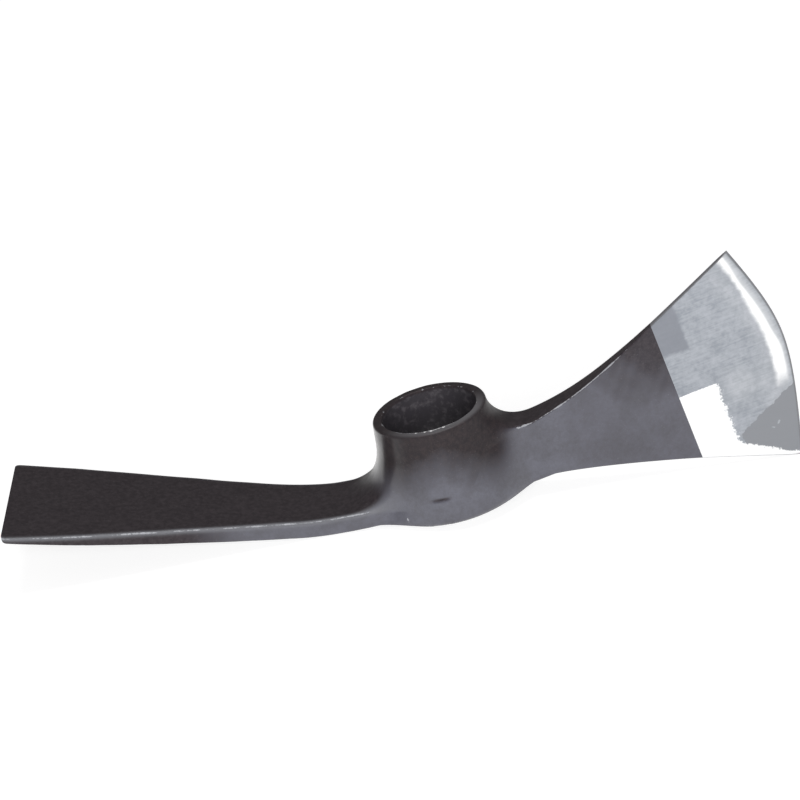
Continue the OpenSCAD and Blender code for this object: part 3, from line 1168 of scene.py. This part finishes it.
def forge_skin_group() -> bpy.types.NodeTree:
    """Skin of a lacquered forging: cloudy mottle, small pits and a slight orange peel."""
    group, t, gi, go = new_group(
        "forge_skin", [("Vector", "Vector", 0)],
        [("Cloud", "Float"), ("Speckle", "Float"), ("Grit", "Float"), ("Crust", "Float"),
         ("Height", "Float")])
    where = gi.outputs["Vector"]
    peel = t.noise(where, 420.0, 2.0, 0.45)
    hammer = t.noise(where, 110.0, 1.0)
    t.feed(go, {
        "Cloud": t.ramp(t.noise(where, 75.0, 4.0, 0.6), 0.3, 0.7),
        "Speckle": t.ramp(t.noise(where, 1500.0, 2.0), 0.62, 0.78),
        "Grit": t.noise(where, 480.0, 4.0, 0.75),
        "Crust": t.ramp(t.noise(where, 330.0, 3.0, 0.6), 0.46, 0.72),
        "Height": t.plus(hammer, peel, 0.35)})
    return group


def top_shade_collar_group() -> bpy.types.NodeTree:
    """Painted shade on what faces up, and a darker collar round the upper part of the eye.

    The upper mask is a smooth step of the upward normal: upward faces are painted darker as
    shade, and made matte. The collar's grows with the height on the eye and sooner away from
    its middle, and ends a little way out on the blades. A noise unsettles both limits.
    """
    group, t, gi, go = new_group(
        "top_shade_collar", [("Vector", "Vector", 0), ("Normal", "Vector", 0)],
        [("Top", "Float"), ("Collar", "Float"), ("Matte", "Float")])
    up = t.add("ShaderNodeSeparateXYZ", {0: gi.outputs["Normal"]}).outputs["Z"]
    at = t.add("ShaderNodeSeparateXYZ", {0: gi.outputs["Vector"]}).outputs
    stir = t.math("SUBTRACT", t.noise(gi.outputs["Vector"], 150.0, 4.0, 0.6), 0.5)
    out = t.math("SQRT", t.plus(t.math("MULTIPLY", at["X"], at["X"]), at["Y"], at["Y"]))
    level = t.plus(t.plus(at["Z"], t.math("ABSOLUTE", at["X"]), 0.5), stir, 0.006)
    high = t.add("ShaderNodeMapRange", {0: level, 1: -0.003, 2: 0.015}).outputs[0]
    close = t.ramp(t.plus(out, stir, 0.005), 0.0352, 0.0258)
    collar = t.math("MULTIPLY", high, close)
    top = t.ramp(up, 0.25, 0.7)
    worn = t.math("MULTIPLY", collar, t.ramp(at["X"], -0.0225, -0.013))
    t.feed(go, {"Top": top, "Collar": collar, "Matte": t.math("MAXIMUM", top, worn)})
    return group


def brush_group() -> bpy.types.NodeTree:
    """Marks of a grinding stone: noise drawn out along one direction."""
    group, t, gi, go = new_group(
        "stone_marks", [("Vector", "Vector", 0), ("Turn", "Float", 0)],
        [("Streak", "Float"), ("Cloud", "Float")])
    turn = t.add("ShaderNodeVectorRotate", {"Vector": gi.outputs["Vector"],
                 "Angle": gi.outputs["Turn"]}, rotation_type="Y_AXIS").outputs[0]
    drawn = t.add("ShaderNodeMapping", {"Vector": turn, "Scale": (70.0, 400.0, 1500.0)},
                  vector_type="POINT").outputs[0]
    t.feed(go, {"Streak": t.noise(drawn, 1.0, 4.0, 0.65),
                "Cloud": t.noise(gi.outputs["Vector"], 130.0, 3.0, 0.6)})
    return group


def new_material(name: str) -> tuple[bpy.types.Material, Tree, bpy.types.Node]:
    """A material with one Principled BSDF.

    Args:
        name: Name of the material.

    Returns:
        The material, its tree and its shader.
    """
    material = bpy.data.materials.new(name)
    material.use_nodes = True
    tree = Tree(material.node_tree)
    return material, tree, material.node_tree.nodes["Principled BSDF"]


@dataclass(frozen=True)
class Lacquer:
    """Semi-gloss black lacquer on a forging, rubbed to bare steel along its edges.

    Upward faces take painted shade. Pale bands on the lip and the adze's upper edges are partly
    worn lacquer and partly painted highlight, and the lip has painted glints.
    """

    colour: Colour = (0.0863, 0.0874, 0.1095, 1.0)
    shade: Colour = (0.056, 0.055, 0.066, 1.0)
    # scale and flake also colour the painted shade on upward faces.
    scale: Colour = (0.018, 0.014, 0.0165, 1.0)
    flake: Colour = (0.039, 0.032, 0.0355, 1.0)
    collar_dark: Colour = (0.016, 0.013, 0.015, 1.0)
    rust: Colour = (0.030, 0.023, 0.024, 1.0)
    # worn: colour of the pale upper-edge band, partly worn lacquer, partly a painted highlight.
    worn: Colour = (0.150, 0.153, 0.166, 1.0)
    # lip: colour of the pale lip band, partly worn lacquer, partly a painted highlight.
    lip: Colour = (0.145, 0.142, 0.152, 1.0)
    soot: Colour = (0.033, 0.030, 0.035, 1.0)
    crust: Colour = (0.072, 0.066, 0.073, 1.0)
    steel: Colour = (0.45, 0.46, 0.49, 1.0)
    # glint: near-white colour of the painted glints on the lip.
    glint: Colour = (0.95, 0.95, 0.96, 1.0)
    wear_amount: float = 0.6
    cloud_tone: float = 0.55
    grit_tone: float = 0.5
    worn_highlight_share: float = 0.85
    lip_light_share: float = 0.8
    speckle_share: float = 0.06
    rough: float = 0.34
    cloud_rough: float = 0.1
    matte_rough: float = 0.16
    gloss: float = 0.85
    matte_loss: float = 0.75
    metal: float = 0.6
    lip_loss: float = 0.7
    bump: float = 0.35
    bump_deep: float = 0.0004
    specular: float = 0.25
    coat_rough: float = 0.2

    def material(self, wear: bpy.types.NodeTree, skin: bpy.types.NodeTree,
                 stain: bpy.types.NodeTree) -> bpy.types.Material:
        """Build the material.

        Args:
            wear: The rubbed edges' node group.
            skin: The forged skin's node group.
            stain: The node group of the painted shade on upward faces and of the darker collar.

        Returns:
            The lacquer's material.
        """
        material, t, shader = new_material("black_lacquer")
        place = t.add("ShaderNodeTexCoord").outputs
        where = place["Object"]
        look = t.group(skin, {"Vector": where}).outputs
        rub = t.group(wear, {"Vector": where, "Nearness": t.value("wear"),
                             "Amount": self.wear_amount})
        rubbed = rub.outputs["Mask"]
        shade_collar = t.group(stain, {"Vector": where, "Normal": place["Normal"]}).outputs
        # Painted shade: upward faces take the scale colours, as do places with a scale value.
        dark = t.math("MAXIMUM", shade_collar["Top"], t.value("scale"))
        matte = t.math("MAXIMUM", shade_collar["Matte"], t.value("scale"))
        grit = t.ramp(look["Grit"], 0.3, 0.75)
        tone = t.plus(t.math("MULTIPLY", look["Cloud"], self.cloud_tone), grit, self.grit_tone)
        base = t.blend(tone, self.colour, self.shade)
        base = t.blend(dark, base, t.blend(grit, self.scale, self.flake))
        # A darker collar round the upper eye, with rust specks in it.
        base = t.blend(shade_collar["Collar"], base, t.blend(grit, self.collar_dark, self.rust))
        # Pale upper-edge band: partly worn lacquer, partly a painted highlight.
        base = t.blend(t.math("MULTIPLY", t.value("worn"), self.worn_highlight_share), base, self.worn)
        # Pale lip band: partly worn lacquer, partly a painted highlight, and glossier.
        lip = t.math("MULTIPLY", t.value("lip"), self.lip_light_share)
        base = t.blend(lip, base, self.lip)
        matte = t.math("MULTIPLY", matte, t.math("SUBTRACT", 1.0, lip))
        base = t.blend(t.value("soot"), base, t.blend(look["Crust"], self.soot, self.crust))
        base = t.blend(t.math("MULTIPLY", look["Speckle"], self.speckle_share), base, self.steel)
        # Rubbed bare steel, near white on the lip, where the wear carries painted glints.
        base = t.blend(rubbed, base, t.blend(lip, self.steel, self.glint))
        rough = t.plus(t.plus(self.rough, look["Cloud"], self.cloud_rough), matte, self.matte_rough)
        bump = t.add("ShaderNodeBump", {
            "Strength": self.bump, "Distance": self.bump_deep, "Height": look["Height"]})
        gloss = t.math("MULTIPLY", t.math("SUBTRACT", 1.0, rubbed),
                       t.plus(self.gloss, matte, -self.matte_loss))
        bare = t.math("MULTIPLY", rubbed, t.plus(self.metal, lip, -self.lip_loss))
        t.feed(shader, {"Base Color": base, "Metallic": t.math("MAXIMUM", bare, 0.0),
                        "Roughness": rough, "Normal": bump.outputs[0], "Coat Weight": gloss,
                        "Specular IOR Level": self.specular, "Coat Roughness": self.coat_rough})
        return material


@dataclass(frozen=True)
class GroundSteel:
    """Bright steel from the stone, lacquered on its narrow faces, with painted reflections: white
    and grey patches, a dark corner, a painted sheen and a darker outer edge.
    """

    colour: Colour = (0.290, 0.312, 0.345, 1.0)
    light: Colour = (0.430, 0.450, 0.488, 1.0)
    honed: Colour = (0.95, 0.955, 0.96, 1.0)
    dull: Colour = (0.275, 0.285, 0.305, 1.0)
    coarse: Colour = (0.245, 0.258, 0.290, 1.0)
    outer: Colour = (0.22, 0.225, 0.235, 1.0)
    lacquer: Colour = (0.13, 0.13, 0.138, 1.0)
    stroke_turn: float = 0.26
    streak_grain: float = 0.4
    cloud_grain: float = 0.4
    fine_grain: float = 0.3
    honed_speck: float = 1.3
    dull_speck: float = 0.9
    border: tuple[float, float] = (0.35, 0.65)
    dark_corner_share: float = 0.85
    rough: float = 0.26
    streak_rough: float = 0.16
    bump: float = 0.12
    bump_deep: float = 0.0002

    def material(self, marks: bpy.types.NodeTree) -> bpy.types.Material:
        """Build the material.

        Args:
            marks: The stone marks' node group.

        Returns:
            The ground steel's material.
        """
        material, t, shader = new_material("ground_steel")
        where = t.add("ShaderNodeTexCoord").outputs["Object"]
        stone = t.group(marks, {"Vector": where, "Turn": self.stroke_turn}).outputs
        fine = t.noise(where, 520.0, 4.0, 0.75)
        grain = t.math("MULTIPLY", stone["Streak"], self.streak_grain)
        grain = t.plus(t.plus(grain, stone["Cloud"], self.cloud_grain), fine, self.fine_grain)
        base = t.blend(t.ramp(grain, 0.38, 0.72), self.colour, self.light)
        speck = t.math("SUBTRACT", t.noise(where, 1100.0, 2.0, 0.6), 0.5)
        # The white and grey places, the dark corner and the sheen are painted reflections.
        white = t.ramp(t.plus(t.value("honed"), speck, self.honed_speck), *self.border)
        flat = t.ramp(t.plus(t.value("dull"), speck, self.dull_speck), *self.border)
        base = t.blend(t.math("MULTIPLY", t.value("coarse"), self.dark_corner_share), base, self.coarse)
        base = t.blend(t.value("sheen"), base, self.honed)
        base = t.blend(flat, base, self.dull)
        base = t.blend(white, base, self.honed)
        # The very edge is painted darker as shade.
        base = t.blend(t.value("outer"), base, self.outer)
        rim = t.value("rim")
        base = t.blend(rim, base, self.lacquer)
        rough = t.plus(self.rough, stone["Streak"], self.streak_rough)
        bump = t.add("ShaderNodeBump", {
            "Strength": self.bump, "Distance": self.bump_deep, "Height": stone["Streak"]})
        t.feed(shader, {"Base Color": base, "Metallic": t.math("SUBTRACT", 1.0, rim),
                        "Roughness": rough, "Normal": bump.outputs[0]})
        return material


# ---------------------------------------------------------------- the studio


@dataclass(frozen=True)
class Lamp:
    """Soft rectangular lamp: its place, the point that it faces, its size and its watts."""

    name: str
    at: Place
    aim: Place
    size: tuple[float, float]
    power: float
    glare: bool = True

    def hang(self) -> None:
        """Add the lamp to the scene, seen in reflections only if it makes a glare."""
        data = bpy.data.lights.new(self.name, "AREA")
        data.shape, data.energy = "RECTANGLE", self.power
        data.size, data.size_y = self.size
        lamp = bpy.data.objects.new(self.name, data)
        lamp.location = self.at
        way = Vector(self.aim) - Vector(self.at)
        lamp.rotation_euler = way.to_track_quat("-Z", "Y").to_euler()
        lamp.visible_glossy = self.glare
        bpy.context.scene.collection.objects.link(lamp)


@dataclass(frozen=True)
class Studio:
    """Pale floor, soft lights and the camera, in metres in the part's frame."""

    camera_at: Place = (-0.011383, -0.913110, 0.447918)
    camera_right: Place = (0.990837, -0.054360, -0.123637)
    camera_up: Place = (0.135038, 0.415471, 0.899527)
    lens: float = 108.0
    sensor: float = 36.0
    clip: tuple[float, float] = (0.05, 20.0)
    floor_half: float = 8.0
    paper: Colour = (0.5, 0.5, 0.5, 1.0)
    white: Colour = (1.0, 1.0, 1.0, 1.0)
    glow_reach: tuple[float, float] = (0.3, 1.2)
    glow: tuple[float, float] = (0.72, 0.93)
    room: Colour = (1.0, 0.97, 0.98, 1.0)
    room_light: float = 0.2
    lamps: tuple[Lamp, ...] = (
        Lamp("front_lamp", (0.05, -1.25, 0.42), (0.0, 0.0, 0.02), (1.3, 0.6), 24.0, False),
        Lamp("top_lamp", (0.0, -0.05, 0.95), (0.0, 0.0, 0.0), (0.6, 0.3), 3.0))

    def place_camera(self) -> None:
        """Make the camera from its right and up directions."""
        right, up = Vector(self.camera_right), Vector(self.camera_up)
        right.normalize()
        back = right.cross(up).normalized()
        up = back.cross(right)
        data = bpy.data.cameras.new("camera")
        data.lens, data.sensor_width = self.lens, self.sensor
        data.clip_start, data.clip_end = self.clip
        camera = bpy.data.objects.new("camera", data)
        turn = Matrix((right, up, back)).transposed().to_4x4()
        camera.matrix_world = Matrix.Translation(self.camera_at) @ turn
        bpy.context.scene.collection.objects.link(camera)
        bpy.context.scene.camera = camera

    def lay_floor(self, level: float) -> bpy.types.Object:
        """A flat sheet under the head: grey paper that glows to the camera and in reflections.

        Args:
            level: Height of the floor.

        Returns:
            The floor.
        """
        line = np.linspace(-self.floor_half, self.floor_half, 5)
        x, y = np.meshgrid(line, line)
        points = np.stack([x, y, np.full_like(x, level)], axis=-1)
        mesh = bpy.data.meshes.new("floor")
        mesh.from_pydata(points.reshape(-1, 3), [], Patch(points).quads(0).tolist())
        floor = bpy.data.objects.new("floor", mesh)
        bpy.context.scene.collection.objects.link(floor)
        material = bpy.data.materials.new("floor_paper")
        material.use_nodes = True
        t = Tree(material.node_tree)
        t.tree.nodes.clear()
        path = t.add("ShaderNodeLightPath").outputs
        seen = t.math("MAXIMUM", path["Is Camera Ray"], path["Is Glossy Ray"])
        seen = t.math("MAXIMUM", seen, path["Is Transmission Ray"])
        away = t.add("ShaderNodeVectorMath", {0: t.add("ShaderNodeTexCoord").outputs["Object"]},
                     operation="LENGTH").outputs["Value"]
        (near, far), (dim, bright) = self.glow_reach, self.glow
        power = t.add("ShaderNodeMapRange", {
            0: away, 1: near, 2: far, 3: dim, 4: bright}).outputs[0]
        glow = t.add("ShaderNodeEmission", {
            "Color": self.white, "Strength": t.math("MULTIPLY", seen, power)})
        paper = t.add("ShaderNodeBsdfDiffuse", {"Color": self.paper})
        both = t.add("ShaderNodeAddShader", {0: glow.outputs[0], 1: paper.outputs[0]})
        t.add("ShaderNodeOutputMaterial", {"Surface": both.outputs[0]})
        mesh.materials.append(material)
        floor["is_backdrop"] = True
        return floor

    def light(self) -> None:
        """A low broad lamp in front that makes no glare, a lamp overhead and a dim room."""
        for lamp in self.lamps:
            lamp.hang()
        world = bpy.data.worlds.new("room")
        bpy.context.scene.world = world
        world.use_nodes = True
        room = world.node_tree.nodes["Background"]
        room.inputs["Color"].default_value = self.room
        room.inputs["Strength"].default_value = self.room_light


# ---------------------------------------------------------------- the whole head


def dress(piece: bpy.types.Object, node: str, material: bpy.types.Material) -> None:
    """Give a piece its finish and its body, and hide the solid that it stands for.

    Args:
        piece: The piece.
        node: Name of the solid.
        material: The finish.
    """
    piece.data.materials.append(material)
    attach(piece, BODY)
    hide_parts(node)
    LOG.info("%s: %d faces for %s", piece.name, len(piece.data.polygons), node)


def main() -> None:
    """Build the studio and the head."""
    logging.basicConfig(level=logging.INFO, format="%(name)s %(message)s")
    scene = bpy.context.scene
    scene.view_settings.view_transform = "Standard"
    studio = Studio()
    studio.place_camera()
    studio.light()
    bench, eye = Bench(), Eye()
    lacquer = Lacquer().material(edge_wear_group(), forge_skin_group(), top_shade_collar_group())
    steel = GroundSteel().material(brush_group())
    dress(eye.build(bench), "eye_socket", lacquer)
    blade, bit = Adze(eye).build(bench)
    dress(blade, "adze_blade", lacquer)
    dress(bit, "adze_bit", lacquer)
    blade, bit = Axe(eye).build(bench)
    dress(blade, "axe_blade", lacquer)
    dress(bit, "axe_bit", steel)
    studio.lay_floor(CAD_BOX[0].z)
    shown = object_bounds()
    for name, low, high in (("cad", *CAD_BOX), ("visual", *shown)):
        LOG.info("%s box in mm: %s", name, [round(1000.0 * d, 1) for d in (high - low)])


if __name__ == "__main__":
    main()
